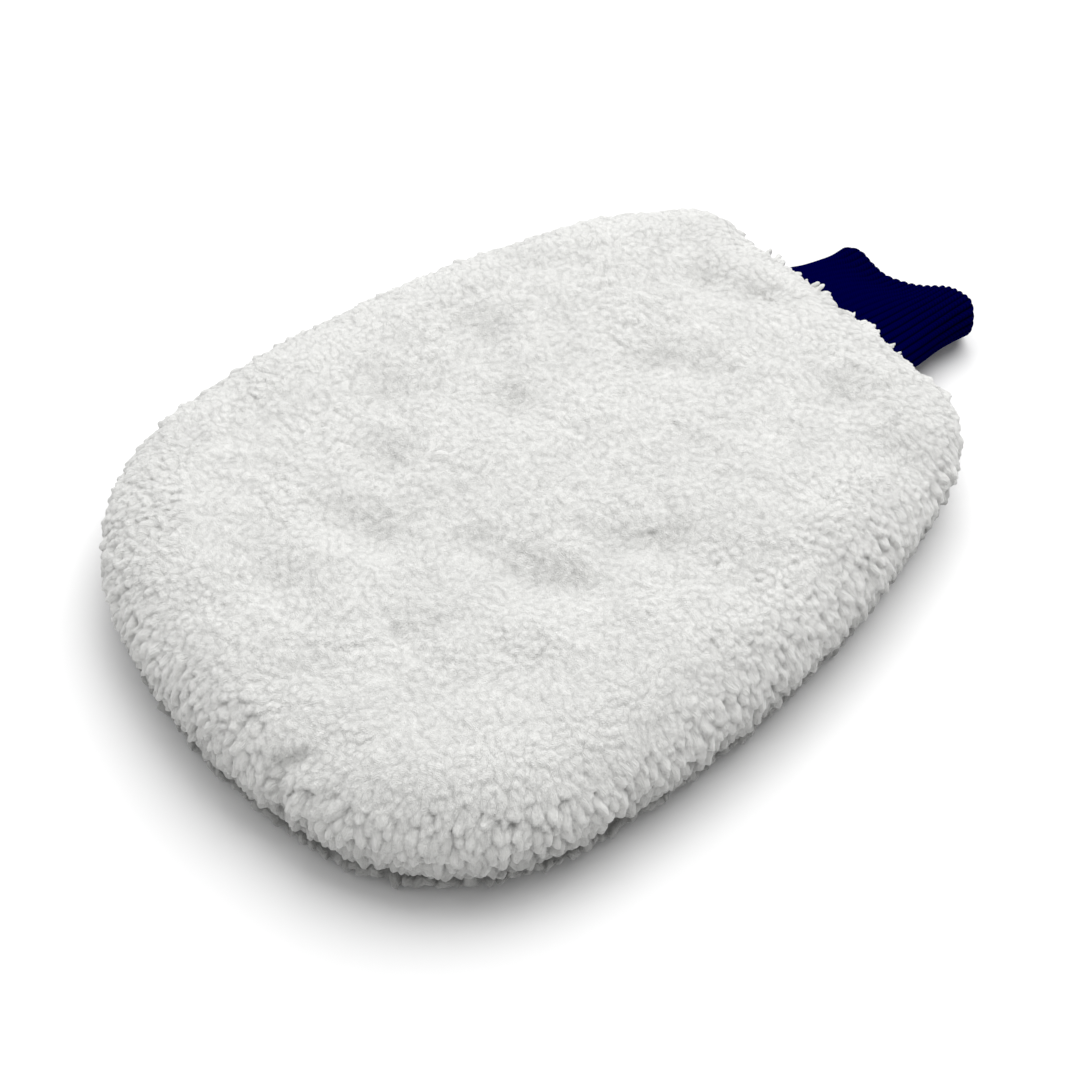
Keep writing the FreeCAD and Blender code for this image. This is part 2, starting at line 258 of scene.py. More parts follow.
class Shell:
    """A mesh made of rings that all follow the outline, with a filled disc at one end or both."""

    def __init__(self):
        self.points = np.zeros((0, 3))
        self.faces = []
        self.around = 0

    def add(self, points):
        first = len(self.points)
        self.points = np.vstack([self.points, points])
        return first

    def rings(self, rings):
        """Bands of quads from each ring to the next. Going up the outside, they face outwards."""
        self.around = len(rings[0])
        starts = [self.add(points) for points in rings]
        for below, above in zip(starts, starts[1:]):
            for k in range(self.around):
                n = (k + 1) % self.around
                self.faces.append((below + k, below + n, above + n, above + k))
        return starts

    def disc(self, start, height, spacing, upward):
        """Fills the ring at start. height gives the level of each new point from its plan place."""
        flat, triangles = fill_plan(self.points[start : start + self.around, :2], spacing)
        new = flat[self.around :]
        first = self.add(np.column_stack([new, height(new)]))
        corners = np.array(triangles)
        in_ring = corners < self.around
        places = np.where(in_ring, start + corners, first + corners - self.around)
        a, b, c = (self.points[places[:, k], :2] for k in range(3))
        faces_up = np.cross(b - a, c - a) > 0
        places[faces_up != upward] = places[faces_up != upward][:, ::-1]
        self.faces += [tuple(face) for face in places.tolist()]

    def face_groups(self):
        """The faces as arrays, each of one face size."""
        sizes = sorted({len(face) for face in self.faces})
        return [np.array([face for face in self.faces if len(face) == size]) for size in sizes]

    def triangles(self):
        split = []
        for face in self.faces:
            split.append(face[:3])
            if len(face) == 4:
                split.append((face[0], face[2], face[3]))
        return np.array(split)

    def normals(self, triangles):
        """The faces' cross products and each point's normal."""
        a, b, c = (self.points[triangles[:, k]] for k in range(3))
        cross = np.cross(b - a, c - a)
        normals = np.zeros_like(self.points)
        for k in range(3):
            np.add.at(normals, triangles[:, k], cross)
        return cross, unit(normals)

    def scatter(self, spacing, seed, keep):
        """Random places at least a spacing apart, and their normals. keep gives each face's share."""
        triangles = self.triangles()
        a, b, c = (self.points[triangles[:, k]] for k in range(3))
        cross, point_normals = self.normals(triangles)
        area = np.linalg.norm(cross, axis=1) / 2 * keep((a + b + c) / 3, unit(cross))
        draw = np.random.default_rng(seed)
        count = int(area.sum() / spacing**2 * TRIES)
        corner = triangles[draw.choice(len(area), count, p=area / area.sum())]
        u, v = draw.random((2, count, 1))
        beyond = u + v > 1
        u, v = np.where(beyond, 1 - u, u), np.where(beyond, 1 - v, v)
        shares = (1 - u - v, u, v)
        places = sum(s * self.points[corner[:, k]] for k, s in enumerate(shares))
        normals = unit(sum(s * point_normals[corner[:, k]] for k, s in enumerate(shares)))
        kept = well_apart(places, spacing)
        return places[kept], normals[kept]


def well_apart(places, spacing):
    """The indices of places that keep the spacing from all earlier ones."""
    cells = {}
    kept = []
    for index, place in enumerate(places.tolist()):
        i, j, k = (math.floor(value / spacing) for value in place)
        near = (cells.get((i + x, j + y, k + z)) for x, y, z in NEIGHBOURS)
        if any(other and math.dist(other, place) < spacing for other in near):
            continue
        cells[i, j, k] = place
        kept.append(index)
    return kept


# ---- the shape of the pile ----

TUFT = 2.0  # how far the locks stand out of the mass of pile on top
TOP = UPPER_HIGH[2] - TUFT
RIM_TUFT = 3.3  # the same round the rim
SHIFT = (0.8, 0.4)  # the mass lies a little to the right and towards the cuff in its outline
COLLAR_INSET = 4.2  # how far the seam draws the mass back round the cuff
NECK_INSET = 4.0  # and how much further over it
MASS_INSET = RIM_TUFT - SHIFT[0] * RIM_NORMAL[:, 0] - SHIFT[1] * RIM_NORMAL[:, 1]
MASS_INSET = MASS_INSET + COLLAR_INSET * COLLAR + NECK_INSET * NECK
WIDEST = 17.0  # level of the rim's outermost line
WIDEST_AT_NECK = 25.0
UPPER_SEAM = 7.5  # level of the rim's lower edge
UPPER_SEAM_AT_NECK = 23.6
UNDER_ROLL = 5.0  # how far the rim rolls in below its outermost line
OVER_ROLL = 22.0  # and above it
# the upper mass's underside, from its middle to its rim: inset, how much more in the neck, level,
# and level in the neck
UPPER_UNDERSIDE = [
    (20.0, 0.0, 24.3, 24.3),
    (14.5, 4.0, 23.2, 24.0),
    (10.8, 6.5, 19.0, 23.9),
    (9.2, 7.3, 14.2, 23.8),
    (8.2, 7.6, 11.0, 23.7),
]
# the lower mass's outside, from the middle of its underside up to the seam: inset, how much less
# beside the neck, level, and level in the neck
LOWER_OUTSIDE = [
    (17.6, 0.0, 1.4, 1.4),
    (12.6, 2.5, 1.5, 1.5),
    (9.2, 2.5, 2.1, 2.1),
    (7.5, 2.5, 3.2, 3.2),
    (6.9, 2.5, 4.8, 5.6),
    (8.0, 2.5, 6.3, 7.6),
    (9.2, 0.0, 8.8, 8.8),
]
LOWER_INSIDE = (20.0, 9.4)  # inset and level of the edge of its flat inside
UNSEEN_SPACING = 8.0  # between the points of discs that nothing shows of

# soft dents and swells of the top: x, y, radius, depth
DENTS = [
    (27.0, -43.0, 8.0, 3.6),
    (37.0, -36.0, 8.0, 4.0),
    (34.0, -18.0, 8.0, 2.8),
    (43.0, -8.0, 8.0, 3.2),
    (13.0, -47.0, 7.0, 2.4),
    (-8.0, -66.0, 8.0, 2.8),
    (-20.0, -72.0, 8.0, 2.4),
    (-30.0, -50.0, 8.0, 2.6),
    (24.0, -80.0, 8.0, 2.4),
    (-23.0, -7.0, 7.0, 2.8),
    (-50.0, -34.0, 8.0, 2.6),
    (-50.0, 4.0, 8.0, 2.4),
    (-66.0, 32.0, 8.0, 2.4),
    (-9.0, 36.0, 7.0, 2.4),
    (2.0, 44.0, 7.0, 2.6),
    (-24.0, 70.0, 7.0, 3.0),
    (-10.0, 78.0, 7.0, 3.0),
    (36.0, 68.0, 8.0, 2.8),
    (60.0, 66.0, 9.0, 2.2),
    (-12.0, -98.0, 8.0, 2.2),
    (62.0, 2.0, 12.0, 1.8),
    (-51.0, 96.0, 9.0, -4.0),
    (-64.0, 84.0, 10.0, 2.4),
    (-38.0, 108.0, 17.0, 8.0),
    (-16.0, 108.0, 12.0, 3.0),
    (44.0, 108.0, 16.0, 5.0),
    (0.0, -100.0, 30.0, -1.0),
    (56.0, -40.0, 22.0, -1.2),
]
DENT_SHARE = 1.15  # of a dent's depth, pressed into the top
SWELLS = [(34.0, 1.2, 1.0), (14.0, 0.7, 2.0), (6.0, 0.5, 3.0)]  # size, height and seed
# creases across the rim: the corners of each in plan from its foot to its end, width and depth
CREASES = [
    ([(44.0, -141.0), (32.5, -130.0), (40.0, -117.0)], 2.3, 3.4),
    ([(99.0, -56.0), (93.5, -60.0), (87.0, -66.0)], 2.6, 2.2),
]
CREASE_FADE = 20.0  # the length over which each fades out at its end
# where the panels' edges part a little: centre, radius and depth
GAPS = [((95.0, -68.0, 10.5), 5.0, 4.4)]


def gaps_at(points):
    """How deep the gaps are at points, flat at the bottom."""
    depth = np.zeros(len(points))
    for centre, radius, deepest in GAPS:
        far = np.sum((points - centre) ** 2, axis=1) / radius**2
        depth += deepest * np.exp(-(far**2))
    return depth


def dents_at(points):
    """How deep the dents are at points in plan."""
    depth = np.zeros(len(points))
    for x, y, radius, deepest in DENTS:
        far = ((points[:, 0] - x) ** 2 + (points[:, 1] - y) ** 2) / radius**2
        depth += deepest * np.exp(-far)
    return depth


def creases_at(points):
    """How deep the creases are at points in plan, each fading out at its end."""
    depth = np.zeros(len(points))
    for corners, width, deepest in CREASES:
        corners = np.array(corners)
        gap = np.full(len(points), np.inf)
        for start, end in zip(corners, corners[1:]):
            way = end - start
            share = np.clip((points[:, :2] - start) @ way / (way @ way), 0, 1)
            aside = points[:, :2] - start - share[:, None] * way
            gap = np.minimum(gap, np.linalg.norm(aside, axis=1))
        left = np.linalg.norm(points[:, :2] - corners[-1], axis=1)
        depth += deepest * np.exp(-((gap / width) ** 2)) * smooth_step(left, 0.0, CREASE_FADE)
    return depth


def top_relief(points):
    """How far the top lies above its mean level at points in plan."""
    flat = np.column_stack([points[:, :2], np.zeros(len(points))])
    relief = sum(height * noise_at(flat, size, seed) for size, height, seed in SWELLS)
    return relief - DENT_SHARE * dents_at(points)


def upper_ring(angle):
    """A ring of the upper panel's rim: -90 degrees is under its edge and 90 where the top begins."""
    seam = UPPER_SEAM + (UPPER_SEAM_AT_NECK - UPPER_SEAM) * NECK
    widest = WIDEST + (WIDEST_AT_NECK - WIDEST) * NECK
    if angle < 0:
        inset = MASS_INSET + UNDER_ROLL * (1 - math.cos(angle))
        return ring(inset, widest + (widest - seam) * math.sin(angle))
    inset = MASS_INSET + OVER_ROLL * (1 - math.cos(angle))
    points = ring(inset, widest + (TOP - widest) * math.sin(angle))
    points[:, 2] += top_relief(points) * math.sin(angle)
    return points


def even_angles(step):
    """The angles of rings that lie a step apart round the rim's section."""
    angles = np.linspace(math.radians(-80), math.pi / 2, 400)
    across = np.where(angles < 0, UNDER_ROLL, OVER_ROLL) * (1 - np.cos(angles))
    level = np.where(angles < 0, WIDEST - UPPER_SEAM, TOP - WIDEST) * np.sin(angles)
    travel = travel_along(np.column_stack([across, level]))
    wanted = np.linspace(0.0, travel[-1], round(travel[-1] / step) + 1)
    return np.interp(wanted, travel, angles)


def finer(points, count):
    """A ring with more points in it."""
    places = np.arange(count) * RIM_COUNT / count
    before = places.astype(int)
    share = (places - before)[:, None]
    return points[before] * (1 - share) + points[(before + 1) % RIM_COUNT] * share


def filled_shell(rings, count, first_disc, last_disc):
    """The rings with count points in each, and a disc in the first and the last. Each disc is the
    level of its points from their plan places, and their spacing."""
    shell = Shell()
    starts = shell.rings([finer(points, count) for points in rings])
    shell.disc(starts[0], *first_disc, upward=False)
    shell.disc(starts[-1], *last_disc, upward=True)
    return shell


def flat_disc(level, spacing):
    return (lambda flat: np.full(len(flat), level)), spacing


def upper_mass_shell(count, step, spacing):
    """The mass of the upper panel's pile: a dish whose edge rolls down over the rim."""
    rings = [ring(inset + more * NECK, *levels) for inset, more, *levels in UPPER_UNDERSIDE]
    rings += [upper_ring(angle) for angle in even_angles(step)]
    inside = flat_disc(UPPER_UNDERSIDE[0][2], UNSEEN_SPACING)
    return filled_shell(rings, count, inside, (lambda flat: TOP + top_relief(flat), spacing))


def between(rings, step):
    """Rings in between, a step apart."""
    result = []
    for first, second in zip(rings, rings[1:]):
        gap = np.median(np.linalg.norm(second - first, axis=1))
        for share in np.arange(0.0, 1.0, 1.0 / max(1, round(gap / step))):
            result.append(first + (second - first) * share)
    return result + [rings[-1]]


def lower_mass_shell(count, step, spacing):
    """The mass of the lower panel's pile, pressed flat on the surface."""
    rings = [ring(inset - less * (1 - NECK), *levels) for inset, less, *levels in LOWER_OUTSIDE]
    rings = between(rings, step) + [ring(*LOWER_INSIDE)]
    underside = flat_disc(LOWER_OUTSIDE[0][2], spacing)
    return filled_shell(rings, count, underside, flat_disc(LOWER_INSIDE[1], UNSEEN_SPACING))


# ---- cloths under the pile ----

CLOTH_SPACING = 6.0


def cloth_piece(name, rings, level, thickness, material):
    """A thin cloth through the rings, flat at a level inside the last one."""
    shell = Shell()
    starts = shell.rings(rings)
    shell.disc(starts[-1], *flat_disc(level, CLOTH_SPACING), upward=True)
    piece = make_piece(name, shell.points, shell.face_groups(), material)
    thicken = piece.modifiers.new("thickness", "SOLIDIFY")
    thicken.thickness = thickness * MM
    thicken.offset = 0.0
    apply_modifiers(piece)
    return piece


def apply_modifiers(piece):
    seen = piece.evaluated_get(bpy.context.evaluated_depsgraph_get())
    final = bpy.data.meshes.new_from_object(seen)
    piece.modifiers.clear()
    piece.data = final


# ---- tufts of pile ----

FLATTENED_BELOW = 1.6
LOWEST = 0.1
DOWN = np.array([0.0, 0.0, -1.0])
FLUFF = ((4.5, 0.9), (1.7, 0.75))  # size and depth of the unevenness of the pile's skin
# the fringe's tufts: places along each one, and its width there
TOOTH = (0.0, 0.22, 0.42, 0.62, 0.78, 0.9, 0.97), (0.6, 0.86, 1.0, 1.0, 0.92, 0.72, 0.42)
FLATNESS = 0.66  # a tuft's thickness as a share of its width
LOBES = 0.16  # unevenness of its section


def off_floor(level):
    """Presses what is low flat on the surface under the mitt, without reaching it."""
    room = FLATTENED_BELOW - LOWEST
    pressed = LOWEST + room * np.exp((np.minimum(level, FLATTENED_BELOW) - FLATTENED_BELOW) / room)
    return np.where(level < FLATTENED_BELOW, pressed, level)


def add_fluff(piece):
    """Makes a piece's surface softly uneven."""
    for size, depth in FLUFF:
        clouds = bpy.data.textures.new("fluff", "CLOUDS")
        clouds.noise_scale = size * MM
        clouds.noise_depth = 2
        rise = piece.modifiers.new("fluff", "DISPLACE")
        rise.texture = clouds
        rise.strength = depth * MM


def soften(piece, factor, rounds):
    smoothing = piece.modifiers.new("soften", "SMOOTH")
    smoothing.factor = factor
    smoothing.iterations = rounds


def fuse(name, tufts, voxel, factor, rounds, material):
    """One soft skin over all the tufts. Each point is as far along as the nearest tuft's point."""
    points, faces, along = tufts
    piece = make_piece(name, points, faces, material)
    skin = piece.modifiers.new("skin", "REMESH")
    skin.mode = "VOXEL"
    skin.voxel_size = voxel * MM
    soften(piece, factor, rounds)
    add_fluff(piece)
    apply_modifiers(piece)
    dress(piece.data, material)
    tree = tree_of(points)
    skin_points = vertex_points(piece)
    nearest = [tree.find(point)[1] for point in skin_points.tolist()]
    set_attribute(piece, "along", along[nearest])
    set_attribute(piece, "strand", skin_points)
    return piece


class Tufts:
    """Locks or tufts of fibres, one for each place, worked out together as arrays."""

    def __init__(self, places, normals, seed):
        self.places = places
        self.normals = normals
        self.count = len(places)
        self.draw = np.random.default_rng(seed)
        outward = normals * np.array([1.0, 1.0, 0.0])
        self.outward = unit(outward + 1e-6)
        # the way down the surface, which is outwards where the surface is level
        steep = np.linalg.norm(outward, axis=1)[:, None]
        self.downhill = unit(self.outward * normals[:, 2:] + DOWN * steep)

    def jitter(self, amount):
        return self.draw.normal(size=(self.count, 3)) * amount

    def vary(self, amount):
        return np.clip(1 + amount * self.draw.normal(size=self.count), 0.5, 1.5)

    def drift(self, size, seed):
        """A smooth field of directions in plan."""
        x, y = (noise_at(self.places, size, seed + k) for k in (0.0, 0.5))
        return np.column_stack([x, y, np.zeros(self.count)]) * 2.0

    def grow(self, heading, bend, length, width, sink, form, sides):
        """Closed tufts: their points, faces and how far along each point is. heading is where each
        one points, and bend how its tip leans, in parts of its length."""
        stations, radii = form
        heading = unit(heading)
        aside = unit(np.cross(heading, self.draw.normal(size=(self.count, 3))))
        across = np.cross(heading, aside)
        reach = length[:, None] + sink
        base = self.places - self.normals * sink
        stride = len(stations) * sides + 1
        points = np.zeros((self.count, stride, 3))
        along = np.zeros((self.count, stride))
        lobes = 1 + LOBES * self.draw.normal(size=(self.count, sides))
        for k, (station, radius) in enumerate(zip(stations, radii)):
            centre = base + (heading + bend * station) * reach * station
            swell = width[:, None] / 2 * radius * lobes
            for j in range(sides):
                turn = 2 * math.pi * j / sides + station
                side = aside * math.cos(turn) + across * FLATNESS * math.sin(turn)
                points[:, k * sides + j] = centre + side * swell[:, j : j + 1]
            along[:, k * sides : (k + 1) * sides] = station
        points[:, -1] = base + (heading + bend) * reach
        along[:, -1] = 1.0
        quads, caps = [], []
        last = (len(stations) - 1) * sides
        for j in range(sides):
            n = (j + 1) % sides
            for row in range(0, last, sides):
                quads.append([row + j, row + n, row + sides + n, row + sides + j])
            caps.append([last + j, last + n, last + sides])
        root = [list(range(sides))[::-1]]
        offsets = (np.arange(self.count) * stride)[:, None, None]
        faces = [(np.array(g)[None] + offsets).reshape(-1, len(g[0])) for g in (quads, caps, root)]
        points = points.reshape(-1, 3)
        points[:, 2] = off_floor(points[:, 2])
        return points, faces, along.reshape(-1)


# ---- the rib-knit cuff ----

RIB_COUNT = 46
RIB_STEPS = 8  # points across each rib
RIB_DEPTH = 0.9
RIDGE_POWER = 0.8  # below 1, the ribs are broader than the furrows between them
SHALLOW_RIBS = 0.6  # a share of their depth, near the root
DEEP_FROM, DEEP_AT = 112.0, 134.0  # between which they reach all of it
INSIDE_DEPTH = -0.4  # of the ribs inside, which stand where the outside's furrows are
PLY = 1.1
WALL = 2.4  # both layers of the knit
THINNEST = 0.35  # half the least height of the cuff's section
FACE_POINTS = 240  # across its upper face, and across its lower one
ROOT_Y = 91.0
OUTSIDE_ROWS, INSIDE_ROWS, HIDDEN_ROWS, FOLD_STEPS = 34, 24, 12, 8
# the cuff's stations from the root to the folded end: y, left and right edge, and the levels of
# its upper and lower face from the left edge to the right one
CUFF_STATIONS = [
    (91.0, -25.5, 29.5, (19.5, 20.5, 20.5, 20.5, 19.5), (12.5, 11.5, 11.5, 11.5, 12.5)),
    (104.0, -25.0, 30.0, (17.5, 19.5, 20.0, 20.0, 19.0), (10.5, 10.5, 10.5, 10.5, 10.5)),
    (113.0, -25.6, 28.0, (13.0, 15.5, 16.5, 17.0, 17.0), (6.0, 6.0, 6.0, 6.0, 6.0)),
    (124.0, -26.2, 26.2, (9.5, 10.5, 12.0, 14.5, 15.5), (2.5, 2.0, 2.0, 2.0, 3.0)),
    (131.0, -26.4, 26.6, (8.0, 7.8, 9.2, 14.2, 16.8), (1.2, 0.9, 0.9, 1.0, 2.4)),
    (137.0, -26.8, 27.6, (7.4, 6.8, 8.2, 14.5, 18.0), (0.9, 0.9, 0.9, 0.9, 2.4)),
]
CUFF_END = CUFF_STATIONS[-1][0]
# how far the folded end lies beyond its station, from its left fold to its right one
END_X = (-27.0, -22.0, -15.0, -9.0, -2.0, 5.0, 12.0, 18.0, 23.0, 27.5)
END_REACH = (-5.5, -2.4, -3.0, -3.6, -1.8, 0.2, 2.2, 2.0, 0.8, -2.0)
# how much painted shade lies in the furrows between the ribs: less on the left than on the right, and
# more near the folded end
FURROW_SHADE = (0.35, 1.0)
FURROW_SHADE_X = (-8.0, 16.0)
FURROW_SHADE_END = 0.5
FURROW_SHADE_END_FROM = 124.0


def smooth_lookup(wanted, places, values):
    """A smooth curve through values at places, read at the wanted places."""
    places, values = np.asarray(places, float), np.asarray(values, float)
    slopes = np.gradient(values, places)
    k = np.clip(np.searchsorted(places, wanted, side="right") - 1, 0, len(places) - 2)
    span = places[k + 1] - places[k]
    t = np.clip((wanted - places[k]) / span, 0, 1)
    rise = values[k] * (2 * t**3 - 3 * t**2 + 1) + values[k + 1] * (3 * t**2 - 2 * t**3)
    return rise + span * (slopes[k] * (t**3 - 2 * t**2 + t) + slopes[k + 1] * (t**3 - t**2))


def cuff_section(y, shrink):
    """A closed curve round the cuff at a place along it, moved inwards by shrink."""
    stations, lefts, rights, uppers, lowers = zip(*CUFF_STATIONS)
    left = smooth_lookup(y, stations, lefts) + shrink
    right = smooth_lookup(y, stations, rights) - shrink
    tops = [smooth_lookup(y, stations, row) for row in zip(*uppers)]
    bottoms = [smooth_lookup(y, stations, row) for row in zip(*lowers)]
    u = 0.5 - 0.5 * np.cos(np.linspace(0, math.pi, FACE_POINTS))
    top = smooth_lookup(u, np.linspace(0, 1, len(tops)), tops)
    bottom = smooth_lookup(u, np.linspace(0, 1, len(bottoms)), bottoms)
    middle = (top + bottom) / 2
    half = np.maximum((top - bottom) / 2 - shrink, THINNEST)
    x = left + (right - left) * u
    fold = np.clip(1 - np.minimum(x - left, right - x) / half, 0, 1)
    rise = half * np.sqrt(np.maximum(1 - fold**2, 0))
    over = np.column_stack([x, middle + rise])
    under = np.column_stack([x, middle - rise])[::-1][1:-1]
    return np.vstack([over, under])


def ribbed_section(y, shrink, depth):
    """The section as even points with ribs, and how far each point is up its rib."""
    curve = cuff_section(y, shrink)
    closed = np.vstack([curve, curve[:1]])
    travel = travel_along(closed)
    count = RIB_COUNT * RIB_STEPS
    even = read_at(np.linspace(0, travel[-1], count, endpoint=False), travel, closed)
    ahead = unit(np.roll(even, -2, axis=0) - np.roll(even, 2, axis=0))
    outward = np.column_stack([-ahead[:, 1], ahead[:, 0]])
    ridge = np.abs(np.cos(np.arange(count) / RIB_STEPS * math.pi)) ** RIDGE_POWER
    return even + outward * (depth * (ridge - 1))[:, None], ridge


def cuff_rows():
    """Every row of the folded knit: y, shrink, rib depth and how far the fold carries it out."""
    rows = []
    for y in np.linspace(ROOT_Y, CUFF_END, OUTSIDE_ROWS):
        deep = part_way((SHALLOW_RIBS, 1.0), smooth_step(y, DEEP_FROM, DEEP_AT))
        rows.append((y, 0.0, RIB_DEPTH * deep, 0.0))
    for angle in np.linspace(0, math.pi, FOLD_STEPS + 1)[1:-1]:  # over the folded end
        turned = (1 - math.cos(angle)) / 2
        out = WALL / 2 * math.sin(angle)
        rows.append((CUFF_END, WALL * turned, part_way((RIB_DEPTH, INSIDE_DEPTH), turned), out))
    for y in np.linspace(CUFF_END, ROOT_Y, INSIDE_ROWS):
        rows.append((y, WALL, INSIDE_DEPTH, 0.0))
    for y in np.linspace(ROOT_Y, CUFF_END, HIDDEN_ROWS):  # between the two layers
        rows.append((y, WALL - 1.0, 0.0, 0.0))
    for y in np.linspace(CUFF_END, ROOT_Y, HIDDEN_ROWS):
        rows.append((y, PLY, 0.0, 0.0))
    return rows


def cuff_piece(material):
    """One knit layer, folded double at the cuff's end, with both its edges at the root."""
    rings, furrow_shading, knit = [], [], []
    count = RIB_COUNT * RIB_STEPS
    phase = np.arange(count) / RIB_STEPS
    for y, shrink, depth, out in cuff_rows():
        flat, ridge = ribbed_section(y, shrink, depth)
        level = y + out * (0.8 + 0.35 * ridge)
        reach = smooth_lookup(flat[:, 0], END_X, END_REACH)
        level += reach * smooth_step(y, DEEP_FROM, CUFF_END)
        rings.append(np.column_stack([flat[:, 0], level, flat[:, 1]]))
        # painted shade in the furrows between the ribs, kept in the ridge attribute
        furrow_shade = part_way(FURROW_SHADE, smooth_step(flat[:, 0], *FURROW_SHADE_X))
        furrow_shade += FURROW_SHADE_END * smooth_step(y, FURROW_SHADE_END_FROM, CUFF_END)
        furrow_shade = np.minimum(furrow_shade, 1.0)
        furrow_shading.append(1 - (1 - ridge) * furrow_shade)
        side = np.abs(phase - np.round(phase)) * 2.0
        knit.append(np.column_stack([side, level, phase]))
    rows = np.arange(len(rings))[:, None] * count
    above = np.roll(rows, -1, axis=0)
    k = np.arange(count)[None]
    n = (k + 1) % count
    faces = np.stack([rows + k, above + k, above + n, rows + n], axis=-1).reshape(-1, 4)
    piece = make_piece("rib_cuff_knit", np.vstack(rings), [faces], material)
    set_attribute(piece, "ridge", np.concatenate(furrow_shading))
    set_attribute(piece, "knit", np.vstack(knit))
    return piece


# ---- materials ----


def new_material(name, color=(0.8, 0.8, 0.8), roughness=0.85, specular=0.25):
    material = bpy.data.materials.new(name)
    material.use_nodes = True
    shader = material.node_tree.nodes["Principled BSDF"]
    shader.inputs["Base Color"].default_value = (*color, 1)
    shader.inputs["Roughness"].default_value = roughness
    shader.inputs["Specular IOR Level"].default_value = specular
    return material, shader


class Nodes:
    """Short ways to add and join a material's nodes."""

    def __init__(self, material, shader):
        self.tree = material.node_tree
        self.shader = shader

    def add(self, kind, inputs=None, **settings):
        node = self.tree.nodes.new(kind)
        for name, value in settings.items():
            setattr(node, name, value)
        for name, value in (inputs or {}).items():
            if isinstance(value, bpy.types.NodeSocket):
                self.tree.links.new(value, node.inputs[name])
            else:
                node.inputs[name].default_value = value
        return node

    def attribute(self, name, output):
        return self.add("ShaderNodeAttribute", attribute_name=name).outputs[output]

    def place(self):
        return self.add("ShaderNodeTexCoord").outputs["Object"]

    def noise(self, vector, scale, detail):
        inputs = {"Vector": vector, "Scale": scale, "Detail": detail}
        return self.add("ShaderNodeTexNoise", inputs).outputs["Fac"]

    def ramp(self, factor, stops):
        node = self.add("ShaderNodeValToRGB", {"Fac": factor})
        elements = node.color_ramp.elements
        while len(elements) < len(stops):
            elements.new(0.5)
        for element, (position, color) in zip(elements, stops):
            element.position = position
            element.color = (*color, 1)
        return node.outputs["Color"]

    def multiply(self, factor, first, second):
        inputs = {"Fac": factor, "Color1": first, "Color2": second}
        node = self.add("ShaderNodeMixRGB", inputs, blend_type="MULTIPLY")
        return node.outputs["Color"]

    def math(self, operation, first, second):
        return self.add("ShaderNodeMath", {0: first, 1: second}, operation=operation).outputs[0]

    def color(self, output):
        self.tree.links.new(output, self.shader.inputs["Base Color"])

    def bump(self, height, distance, strength):
        inputs = {"Height": height, "Distance": distance, "Strength": strength}
        node = self.add("ShaderNodeBump", inputs)
        self.tree.links.new(node.outputs["Normal"], self.shader.inputs["Normal"])


def grey(level):
    return (level, level, level * 0.992)


# how light scatters in the pile and over it
SOFT_LIGHT = {
    "Sheen Weight": 0.25,
    "Sheen Roughness": 0.45,
    "Subsurface Weight": 0.35,
    "Subsurface Radius": (1.0, 1.0, 1.0),
    "Subsurface Scale": 0.0018,
}


def pile_material():
    """White microfibre with strands along each lock. Painted shade makes it a little darker at the
    root of each lock, and darker again where each piece's painted shade is set.
    """
    material, shader = new_material("white_pile")
    for name, value in SOFT_LIGHT.items():
        shader.inputs[name].default_value = value
    nodes = Nodes(material, shader)
    strands = nodes.noise(nodes.attribute("strand", "Vector"), 2.6, 2.0)
    # painted shade: a little darker towards the root of each lock, where the pile shades itself
    base = nodes.ramp(nodes.attribute("along", "Fac"), [(0.1, grey(0.79)), (0.6, grey(0.83))])
    streaks = nodes.ramp(strands, [(0.3, grey(0.91)), (0.6, grey(1.0))])
    patches = nodes.ramp(nodes.noise(nodes.place(), 60.0, 3.0), [(0.3, grey(0.93)), (0.7, grey(1.0))])
    # painted shade: the colour is multiplied by each piece's share of painted shade, read from its
    # attribute
    painted_shading = nodes.attribute("painted_shading", "Fac")
    patched = nodes.multiply(1.0, nodes.multiply(1.0, base, streaks), patches)
    nodes.color(nodes.multiply(1.0, patched, painted_shading))
    fuzz = nodes.noise(nodes.place(), 1500.0, 3.0)
    nodes.bump(nodes.math("ADD", strands, nodes.math("MULTIPLY", fuzz, 0.5)), 0.0008, 0.7)
    return material


def cloth_material(name, level, loops_per_metre):
    """A thin plain knit."""
    material, shader = new_material(name, roughness=0.8)
    nodes = Nodes(material, shader)
    inputs = {"Vector": nodes.place(), "Scale": loops_per_metre}
    loops = nodes.add("ShaderNodeTexVoronoi", inputs).outputs["Distance"]
    nodes.color(nodes.ramp(loops, [(0.0, grey(level)), (0.9, grey(level * 0.75))]))
    nodes.bump(loops, 0.0003, 0.4)
    return material


def thread_material(name, light, dark):
    """Spun thread: fine strands across its length."""
    material, shader = new_material(name, roughness=0.6)
    nodes = Nodes(material, shader)
    strands = nodes.noise(nodes.place(), 3000.0, 1.0)
    nodes.color(nodes.ramp(strands, [(0.35, dark), (0.65, light)]))
    nodes.bump(strands, 0.0002, 0.5)
    return material


